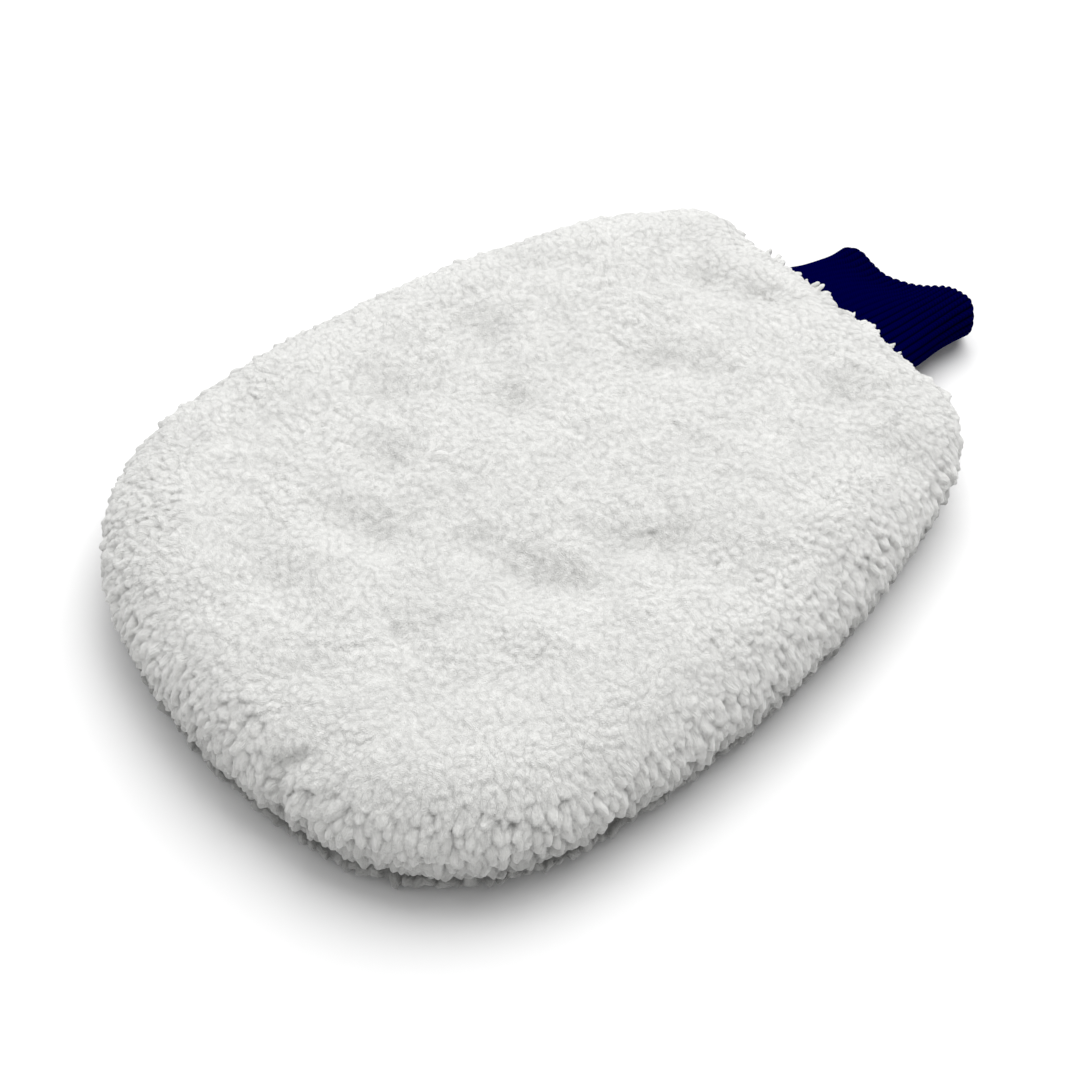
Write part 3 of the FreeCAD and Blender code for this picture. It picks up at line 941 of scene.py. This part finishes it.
def rib_material():
    """Dark navy rib knit: V-shaped loops up each rib, with painted shade that darkens it between the
    ribs.
    """
    material, shader = new_material("navy_rib_knit", roughness=0.9, specular=0.0)
    nodes = Nodes(material, shader)
    split = nodes.add("ShaderNodeSeparateXYZ", {"Vector": nodes.attribute("knit", "Vector")})
    slanted = nodes.math("ADD", split.outputs["Y"], nodes.math("MULTIPLY", split.outputs["X"], 0.6))
    loops = nodes.math("PINGPONG", slanted, 0.55)
    # painted shade: much darker in the furrows between the ribs
    rise = nodes.ramp(nodes.attribute("ridge", "Fac"), [(0.05, grey(0.12)), (0.7, grey(1.0))])
    yarn = nodes.ramp(nodes.noise(nodes.place(), 1400.0, 3.0), [(0.3, grey(0.8)), (0.7, grey(1.0))])
    navy = nodes.ramp(loops, [(0.0, (0.0, 0.0, 0.024)), (0.5, (0.0, 0.0, 0.056))])
    nodes.color(nodes.multiply(1.0, nodes.multiply(1.0, navy, rise), yarn))
    nodes.bump(loops, 0.0003, 0.6)
    return material


PILE = pile_material()
BACKING = cloth_material("white_backing", 0.80, 900.0)
LINING = cloth_material("white_lining", 0.78, 1300.0)
RIB = rib_material()
WHITE_THREAD = thread_material("white_thread", grey(0.85), grey(0.6))
NAVY_THREAD = thread_material("navy_thread", (0.004, 0.004, 0.06), (0.002, 0.002, 0.02))

# ---- the masses of pile and the locks on them ----


def level_band(low, high, fade):
    """A share for places by how level the surface is there, from its normal."""

    def keep(middles, normals):
        level = normals[:, 2]
        outside = (level > FACES_UP) | (inset_of(middles) < INSIDE_INSET)
        above = smooth_step(level, low - fade, low + fade)
        return above * (1 - smooth_step(level, high - fade, high + fade)) * outside

    return keep


# the bands of the upper locks, from the top down to the underside: how level the surface is there,
# and the spacing
BANDS = [(0.91, 2.0, 1.9), (0.74, 0.93, 1.95), (0.4, 0.77, 2.1), (-2.0, 0.43, 2.35)]
BAND_FADE = 0.05
FACES_UP = 0.2
INSIDE_INSET = 7.6  # where the rim's underside turns up into the pouch
LOWER_FACING = 0.35
LOWER_TOP = 8.0
LOCK_SHAPE = (-0.1, 0.0, 0.2, 0.4, 0.6, 0.78, 0.9, 0.97, 1.0)  # along a lock
LOCK_WIDTH = (0.2, 0.62, 0.84, 1.0, 1.0, 0.86, 0.62, 0.36, 0.15)  # its width there
TIP = 0.8  # where its tip begins to round off
ROOT_DEPTH = 0.2  # its depth at the root, as a share
ROOT_ENDS = (-0.1, 0.15)  # between which it rises out of the mass
TOO_HIGH = 4.0  # over a point, for a lock to lie on it
NEAREST = 9  # locks looked at for each point
RAGGED = ((3.2, 0.45), (1.3, 0.4))  # size and depth of the unevenness of the locks' outlines
RAGGED_SEED = 20.0
TILT = 0.3  # how far a lock leans towards its tip as it rises
STRANDS = (1.6, 1.2, 2.0)  # scale of the strands across and along a lock, and from lock to lock


def lower_outside(middles, normals):
    """The lower panel's outside: all of its underside and its edge."""
    return (normals[:, 2] < LOWER_FACING) * (middles[:, 2] < LOWER_TOP) * 1.0


class SkinLocks:
    """Locks that lie over each other, raised out of the mass as one skin."""

    def __init__(self, tufts, heading, length, width, depth):
        heading = heading - tufts.normals * np.sum(heading * tufts.normals, axis=1)[:, None]
        self.heading = unit(heading)
        self.normals = tufts.normals
        self.aside = np.cross(self.normals, self.heading)
        self.length = length
        self.width = width
        self.depth = depth
        self.middle = tufts.places
        self.root = tufts.places - self.heading * self.length[:, None] * 0.5

    def near(self, points):
        """The locks nearest to each point."""
        tree = tree_of(self.middle)
        return np.array([[hit[1] for hit in tree.find_n(p, NEAREST)] for p in points.tolist()])

    def raised(self, points, normals):
        """The points moved out onto the locks, how far along its lock each one is, its place among
        the strands, and its height as a share of the lock's depth."""
        near = self.near(points)
        warped = points.copy()
        for size, depth in RAGGED:
            for axis in range(3):
                warped[:, axis] += depth * noise_at(points, size, RAGGED_SEED + size + axis)
        offset = warped[:, None] - self.root[near]
        along = np.sum(offset * self.heading[near], axis=2) / self.length[near]
        across = np.sum(offset * self.aside[near], axis=2) * 2 / self.width[near]
        above = np.abs(np.sum(offset * self.normals[near], axis=2))
        body = np.interp(along, LOCK_SHAPE, LOCK_WIDTH, left=0.0, right=0.0)
        section = np.sqrt(np.maximum(1 - (across / np.maximum(body, 0.01)) ** 2, 0))
        tip = np.sqrt(np.maximum(1 - (np.maximum(along - TIP, 0) / (1 - TIP)) ** 2, 0))
        grown = ROOT_DEPTH + (1 - ROOT_DEPTH) * np.clip(along, 0, 1)
        rise = self.depth[near] * grown * section * tip
        rise *= smooth_step(along, *ROOT_ENDS) * (body > 0) * (above < TOO_HIGH)
        best = np.argmax(rise, axis=1)
        rows = np.arange(len(points))
        height = rise[rows, best][:, None]
        owner = near[rows, best]
        moved = points + normals * height + self.heading[owner] * height * TILT
        covered = height[:, 0] > 0
        share = np.where(covered, along[rows, best], 0.0)
        aside = np.where(covered, across[rows, best] * self.width[owner] / 2, 0.0)
        strand = np.column_stack([aside, share, self.depth[owner]]) * STRANDS
        return moved, np.clip(share, 0, 1), strand, height[:, 0] / self.depth[owner]


SKIN_SOFTNESS = (0.35, 2)
SHADING_LEVELS = (4.0, 23.0)  # painted shade: between these levels the colour goes from its low share to its high one
CREVICE_SHADE = (0.25, 0.04)  # painted shade: how much darker it is between locks down the rim, and on top
HOLLOW_SHADE = 0.026  # painted shade: how much darker for each millimetre of a dent
CREASE_SHADE = 0.4  # painted shade in creases: of that, for each millimetre of a crease
GAP_SHADE = 0.09  # painted shade: how much darker for each millimetre of a gap


def painted_skin_shade(shell, normals, level, height, crease, gap, shading_by_level, shade):
    """Painted shade as a share of the pile's colour for each point: less down low, between locks, in
    hollows, creases and gaps, and where the skin faces down.
    """
    painted_shading = part_way(shading_by_level, smooth_step(level, *SHADING_LEVELS))
    crevice_shade = part_way(CREVICE_SHADE, smooth_step(normals[:, 2], 0.55, 0.95))
    painted_shading = painted_shading * (1 - crevice_shade * (1 - smooth_step(height, 0.1, 0.6)))
    on_top = smooth_step(normals[:, 2], 0.7, 0.95)
    hollow_shade = np.clip(dents_at(shell.points), 0.0, 4.0) * on_top + crease * CREASE_SHADE
    painted_shading = painted_shading * (1 - HOLLOW_SHADE * hollow_shade) * (1 - GAP_SHADE * gap)
    # painted shade where the skin faces down
    return painted_shading * (1 - shade * smooth_step(-normals[:, 2], -0.3, 0.4))


def skin_piece(name, shell, locks, shading_by_level, shade):
    """The mass with its locks raised, softened and made uneven, as one piece."""
    normals = shell.normals(shell.triangles())[1]
    crease = creases_at(shell.points) * smooth_step(normals[:, 2], -0.5, 0.1)
    gap = gaps_at(shell.points)
    pressed = shell.points - normals * (crease + gap)[:, None]
    moved, along, strand, height = locks.raised(pressed, normals)
    piece = make_piece(name, moved, shell.face_groups(), PILE)
    soften(piece, *SKIN_SOFTNESS)
    add_fluff(piece)
    apply_modifiers(piece)
    final = vertex_points(piece)
    final[:, 2] = off_floor(final[:, 2])
    piece.data.vertices.foreach_set("co", (final * MM).reshape(-1))
    piece.data.update()
    # painted shade for each point, kept as an attribute that darkens the pile's colour
    painted_shading = painted_skin_shade(shell, normals, final[:, 2], height, crease, gap, shading_by_level, shade)
    set_attribute(piece, "along", along)
    set_attribute(piece, "painted_shading", painted_shading)
    set_attribute(piece, "strand", strand)
    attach(piece, "pouch")
    return piece


# the locks' size down the rim and on top
LENGTH = (5.7, 3.3)
WIDTH = (4.0, 3.1)
DEPTH = (2.9, 0.35)
ROUGH_DEPTH = 0.75  # how much deeper the locks are where the top is rough
UNDER_DEPTH = 1.4  # how much shallower they are under the rim
ROUGH_SIZE = 16.0
SCATTER_SPACING = 3.0  # between the rings of the plainer mass that locks are placed on


def upper_locks():
    """Locks over the whole upper panel: short and wandering on top, longer and down the rim."""
    mass = upper_mass_shell(RIM_COUNT, SCATTER_SPACING, 2.4)
    found = []
    for k, (low, high, spacing) in enumerate(BANDS):
        found.append(mass.scatter(spacing, 11 + k, level_band(low, high, BAND_FADE)))
    tufts = Tufts(*(np.vstack(column) for column in zip(*found)), 21)
    level = tufts.normals[:, 2]
    top = smooth_step(level, 0.55, 0.97)
    wander = smooth_step(level, 0.86, 0.99)[:, None]
    heading = tufts.downhill * (1 - wander) + tufts.drift(11.0, 3.0) * (0.28 + 0.5 * wander)
    heading += tufts.jitter(0.16)
    length = part_way(LENGTH, top) * tufts.vary(0.18)
    width = part_way(WIDTH, top) * tufts.vary(0.16)
    flat = smooth_step(level, 0.45, 0.93)
    under = smooth_step(-level, 0.1, 0.8)
    rough = smooth_step(noise_at(tufts.places, ROUGH_SIZE, 9.0), -0.1, 0.5)
    depth = part_way(DEPTH, flat) + ROUGH_DEPTH * rough * flat - UNDER_DEPTH * under
    return SkinLocks(tufts, heading, length, width, depth * tufts.vary(0.2))


def lower_locks():
    """Locks over the lower panel's underside, pressed flat, and out of its edge."""
    mass = lower_mass_shell(RIM_COUNT, SCATTER_SPACING, 4.0)
    tufts = Tufts(*mass.scatter(2.3, 17, lower_outside), 18)
    edge = smooth_step(tufts.normals[:, 2], -0.95, -0.5)
    heading = tufts.outward * edge[:, None] + tufts.drift(9.0, 6.0) * 0.5 + tufts.jitter(0.16)
    length = 4.6 * tufts.vary(0.16)
    width = 3.4 * tufts.vary(0.14)
    depth = part_way((0.9, 2.3), edge) * tufts.vary(0.2)
    return SkinLocks(tufts, heading, length, width, depth)


upper_mass = upper_mass_shell(count=1300, step=0.6, spacing=0.85)
lower_mass = lower_mass_shell(count=1200, step=0.65, spacing=1.6)
# the two shares give painted shade from the lowest levels up to the highest, and the last number
# painted shade where the skin faces down
upper_pile = skin_piece("upper_pile", upper_mass, upper_locks(), shading_by_level=(0.62, 0.985), shade=0.2)
lower_pile = skin_piece("lower_pile", lower_mass, lower_locks(), shading_by_level=(0.48, 1.6), shade=0.0)


def neck_edge(middles, normals):
    """The edge of the upper panel over the cuff's root."""
    at_neck = (np.abs(middles[:, 0]) < NECK_HALF) * (middles[:, 1] > EDGE_FROM)
    facing = (normals[:, 2] > EDGE_FACING[0]) * (normals[:, 2] < EDGE_FACING[1])
    return at_neck * (middles[:, 2] > EDGE_ABOVE) * facing * 1.0


# the part of the edge that has the fringe, and how level the surface is there
EDGE_FROM = 90.0
EDGE_ABOVE = 24.5
EDGE_FACING = (-0.2, 0.6)
TO_CUFF = np.array([0.0, 0.9, -0.05])  # and a little down
FRINGE_SPACING = 1.3
FRINGE_LENGTH = 1.2
CLUMP_LENGTH = 3.2  # how much longer it is in its clumps
CLUMP_SIZE = 3.6
FRINGE_WIDTH = 2.6


def neck_fringe():
    """Clumps of pile that stick out over the cuff's root."""
    mass = upper_mass_shell(RIM_COUNT, 1.5, 4.0)
    tufts = Tufts(*mass.scatter(FRINGE_SPACING, 61, neck_edge), 62)
    heading = tufts.normals * 0.2 + TO_CUFF + tufts.drift(5.0, 8.0) * 0.35 + tufts.jitter(0.08)
    bend = tufts.jitter(0.08)
    clumped = smooth_step(noise_at(tufts.places, CLUMP_SIZE, 4.0), -0.4, 0.2)
    length = (FRINGE_LENGTH + CLUMP_LENGTH * clumped) * tufts.vary(0.12)
    width = FRINGE_WIDTH * tufts.vary(0.16)
    grown = tufts.grow(heading, bend, length, width, sink=2.0, form=TOOTH, sides=8)
    piece = fuse("neck_fringe", grown, voxel=0.32, factor=0.5, rounds=3, material=PILE)
    # no painted shade on the fringe: its share is 1 everywhere
    set_attribute(piece, "painted_shading", np.full(len(piece.data.vertices), 1.0))
    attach(piece, "pouch")
    return piece


fringe = neck_fringe()

# ---- cloths ----


def dish(name, profile, level, thickness, material, drawn=0.0):
    """A cloth the shape of a panel, through rings of inset, level, and level in the neck."""
    rings = [ring(inset + drawn * NECK, height, neck) for inset, height, neck in profile]
    return cloth_piece(name, rings, level, thickness, material)


upper_backing = dish(
    "upper_backing_cloth",
    [
        (15.4, 12.5, 22.3),
        (11.0, 12.5, 22.3),
        (10.2, 13.6, 22.6),
        (10.9, 16.4, 23.0),
        (12.5, 19.6, 23.2),
        (16.0, 22.4, 23.3),
        (20.5, 23.4, 23.4),
    ],
    level=23.4,
    thickness=0.8,
    material=BACKING,
    drawn=2.6,
)
lower_backing = dish(
    "lower_backing_cloth",
    [(15.4, 11.5, 10.4), (11.0, 11.5, 10.4), (10.2, 10.9, 10.2), (11.0, 10.2, 10.0)],
    level=10.2,
    thickness=0.6,
    material=BACKING,
)
upper_lining = dish(
    "upper_lining_cloth",
    [
        (15.4, 13.5, 21.2),
        (12.4, 13.5, 21.2),
        (11.8, 14.5, 21.4),
        (12.6, 17.0, 21.8),
        (14.2, 19.8, 22.1),
        (17.5, 21.8, 22.2),
        (21.5, 22.4, 22.4),
    ],
    level=22.4,
    thickness=0.5,
    material=LINING,
    drawn=2.6,
)
lower_lining = dish(
    "lower_lining_cloth",
    [(15.8, 12.3, 11.0), (20.0, 11.4, 11.2)],
    level=11.4,
    thickness=0.5,
    material=LINING,
)
cloths = {
    upper_backing: ("upper_pile_panel", "pile"),
    lower_backing: ("lower_pile_panel", "pile"),
    upper_lining: ("upper_lining_panel", "lining"),
    lower_lining: ("lower_lining_panel", "lining"),
}
for piece, (node, slot) in cloths.items():
    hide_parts(node)
    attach(piece, "pouch")

# ---- the cuff ----

cuff = cuff_piece(RIB)
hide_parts("rib_cuff")
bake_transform(cuff)

# ---- threads ----


OUTLINE_POINTS = 4000  # of the fine outline that the seams follow
NEEDLE_PLACE = (12.6, 12.4)  # inset and level of the middle of the running stitch
LOOPER_PLACE = (14.6, 12.5)  # and of the overlock loops
LOOP_WIDTH = 1.5
STITCH = 3.2  # a stitch's length
THREAD = 0.28  # the white thread's radius
SIDES = 6  # of a thread's section
SHARPNESS = 1.8  # how square a running stitch is
REACH = 1.9  # how far the stitches go up and down through the layers
NAVY_STITCH = 2.2
NAVY_RADIUS = 0.2
NAVY_LOOP = 0.35  # radius of the loops of the cuff's seam


def tube(name, line, sideways, radius, material):
    """A round thread along a line of points. sideways is never in line with it."""
    ahead = unit(np.gradient(line, axis=0))
    first = unit(np.cross(ahead, sideways))
    second = np.cross(ahead, first)
    turns = np.arange(SIDES) * 2 * math.pi / SIDES
    rings = [line + radius * (first * math.cos(t) + second * math.sin(t)) for t in turns]
    points = np.stack(rings, axis=1).reshape(-1, 3)
    rows = np.arange(len(line) - 1)[:, None] * SIDES
    k = np.arange(SIDES)[None]
    n = (k + 1) % SIDES
    quads = np.stack([rows + k, rows + n, rows + SIDES + n, rows + SIDES + k], axis=-1)
    last = (len(line) - 1) * SIDES
    caps = np.array([np.arange(SIDES)[::-1], last + np.arange(SIDES)])
    return make_piece(name, points, [quads.reshape(-1, 4), caps], material)


def along_outline(inset, step):
    """Even points round the outline at an inset, from one side of the neck to the other."""
    plan, normals = outline(OUTLINE_POINTS)
    plan = plan - normals * inset
    neck = np.where((np.abs(plan[:, 0]) < NECK_HALF) & (plan[:, 1] > 60.0))[0]
    order = np.arange(neck[-1] + 1, neck[0] + len(plan) - 1) % len(plan)
    plan, normals = plan[order], normals[order]
    travel = travel_along(plan)
    wanted = np.arange(0.0, travel[-1], step)
    return read_at(wanted, travel, plan), unit(read_at(wanted, travel, normals)), wanted


def square_wave(travel, pitch):
    """A wave with flat tops and bottoms, from -1 to 1."""
    return np.clip(SHARPNESS * np.sin(2 * math.pi * travel / pitch), -1.0, 1.0)


def perimeter_needle():
    """A running stitch through the four layers just inside the groove."""
    inset, middle = NEEDLE_PLACE
    plan, ways, travel = along_outline(inset, STITCH / 10)
    level = middle + REACH * square_wave(travel, STITCH)
    line = np.column_stack([plan, level])
    sideways = np.column_stack([ways, np.zeros(len(ways))])
    return tube("perimeter_needle_stitches", line, sideways, THREAD, WHITE_THREAD)


def perimeter_looper():
    """Overlock loops round the layers' raw edges, inside the pouch."""
    inset, middle = LOOPER_PLACE
    plan, ways, travel = along_outline(inset, STITCH / 14)
    turn = 2 * math.pi * travel / STITCH
    level = middle + REACH * np.sin(turn)
    line = np.column_stack([plan + ways * LOOP_WIDTH * np.cos(turn)[:, None], level])
    radial = np.column_stack([ways * np.cos(turn)[:, None], np.sin(turn)])
    return tube("perimeter_looper_stitches", line, radial, THREAD, WHITE_THREAD)


def neck_ring(name, y, offset, wave):
    """Stitches round the cuff's root, through the knit and both panels."""
    curve = cuff_section(ROOT_Y + 2.0, -offset)
    closed = np.vstack([curve, curve[:1]])
    travel = travel_along(closed)
    stitches = round(travel[-1] / STITCH)
    pitch = travel[-1] / stitches
    wanted = np.linspace(0.0, travel[-1], stitches * 12 + 1)
    even = read_at(wanted, travel, closed)
    ahead = unit(np.gradient(even, axis=0))
    outward = np.column_stack([-ahead[:, 1], ahead[:, 0]])
    even = even + outward * (0.5 * square_wave(wanted, pitch))[:, None]
    level = y + wave * np.sin(math.pi * wanted / pitch)
    line = np.column_stack([even[:, 0], level, even[:, 1]])
    sideways = np.tile([0.0, 1.0, 0.001], (len(line), 1))
    return tube(name, line, sideways, THREAD, WHITE_THREAD)


def cuff_seam():
    """The seam that closes the knit into a tube, inside its left fold."""
    y = np.arange(ROOT_Y + 1.0, CUFF_END - 1.5, 0.12)
    stations, lefts, _, uppers, lowers = zip(*CUFF_STATIONS)
    turn = 2 * math.pi * y / NAVY_STITCH
    x = smooth_lookup(y, stations, lefts) + WALL + 1.0 + NAVY_LOOP * np.cos(turn)
    middle = (
        smooth_lookup(y, stations, [row[0] for row in uppers])
        + smooth_lookup(y, stations, [row[0] for row in lowers])
    ) / 2
    z = middle + NAVY_LOOP * np.sin(turn)
    line = np.column_stack([x, y, z])
    sideways = np.column_stack([np.cos(turn), 0 * turn, np.sin(turn)])
    return tube("cuff_seam_stitches", line, sideways, NAVY_RADIUS, NAVY_THREAD)


needle = perimeter_needle()
looper = perimeter_looper()
neck_needle = neck_ring("neck_needle_stitches", 94.0, 0.6, 0.0)
neck_looper = neck_ring("neck_looper_stitches", 91.8, 0.6, 0.9)
seam = cuff_seam()
threads = {
    needle: "perimeter_needle_thread",
    looper: "perimeter_looper_thread",
    neck_needle: "neck_needle_thread",
    neck_looper: "neck_looper_thread",
}
for piece, node in threads.items():
    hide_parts(node)
    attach(piece, "pouch")
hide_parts("cuff_seam_thread")
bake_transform(seam)

# ---- floor, light and camera ----


FLOOR_SIZE = 3000.0
# the photograph's viewing angle, from the front right and well above, and what is in its middle
AZIMUTH = math.radians(50.3)
ELEVATION = math.radians(51.3)
DISTANCE = 0.6546
LENS = 76.57
TARGET = Vector((0.00938, -0.02373, 0.01425))


def floor():
    corners = np.array([(-1, -1, 0), (1, -1, 0), (1, 1, 0), (-1, 1, 0)]) * FLOOR_SIZE
    material, _ = new_material("floor", (0.93, 0.93, 0.93), 0.9)
    make_piece("floor", corners, [np.array([(0, 1, 2, 3)])], material)


def area_light(name, place, power, size):
    light = bpy.data.lights.new(name, "AREA")
    light.energy = power
    light.size = size
    place_item(name, light, place, (-Vector(place)).to_track_quat("-Z", "Y").to_euler())


def camera():
    level = math.cos(ELEVATION)
    back = Vector((math.sin(AZIMUTH) * level, -math.cos(AZIMUTH) * level, math.sin(ELEVATION)))
    data = bpy.data.cameras.new("camera")
    data.sensor_width = 36.0
    data.lens = LENS
    data.clip_start = 0.01
    turn = back.to_track_quat("Z", "Y").to_euler()
    bpy.context.scene.camera = place_item("camera", data, TARGET + back * DISTANCE, turn)


def studio(brightness):
    """White light from all round."""
    world = bpy.data.worlds.new("studio")
    world.use_nodes = True
    background = world.node_tree.nodes["Background"]
    background.inputs["Color"].default_value = (1, 1, 1, 1)
    background.inputs["Strength"].default_value = brightness
    bpy.context.scene.world = world
    bpy.context.scene.view_settings.view_transform = "Standard"


floor()
area_light("key", place=(-0.32, 0.7, 1.6), power=35.0, size=1.8)
area_light("fill", place=(-1.0, -0.8, 1.2), power=4.0, size=1.6)
camera()
studio(brightness=0.42)
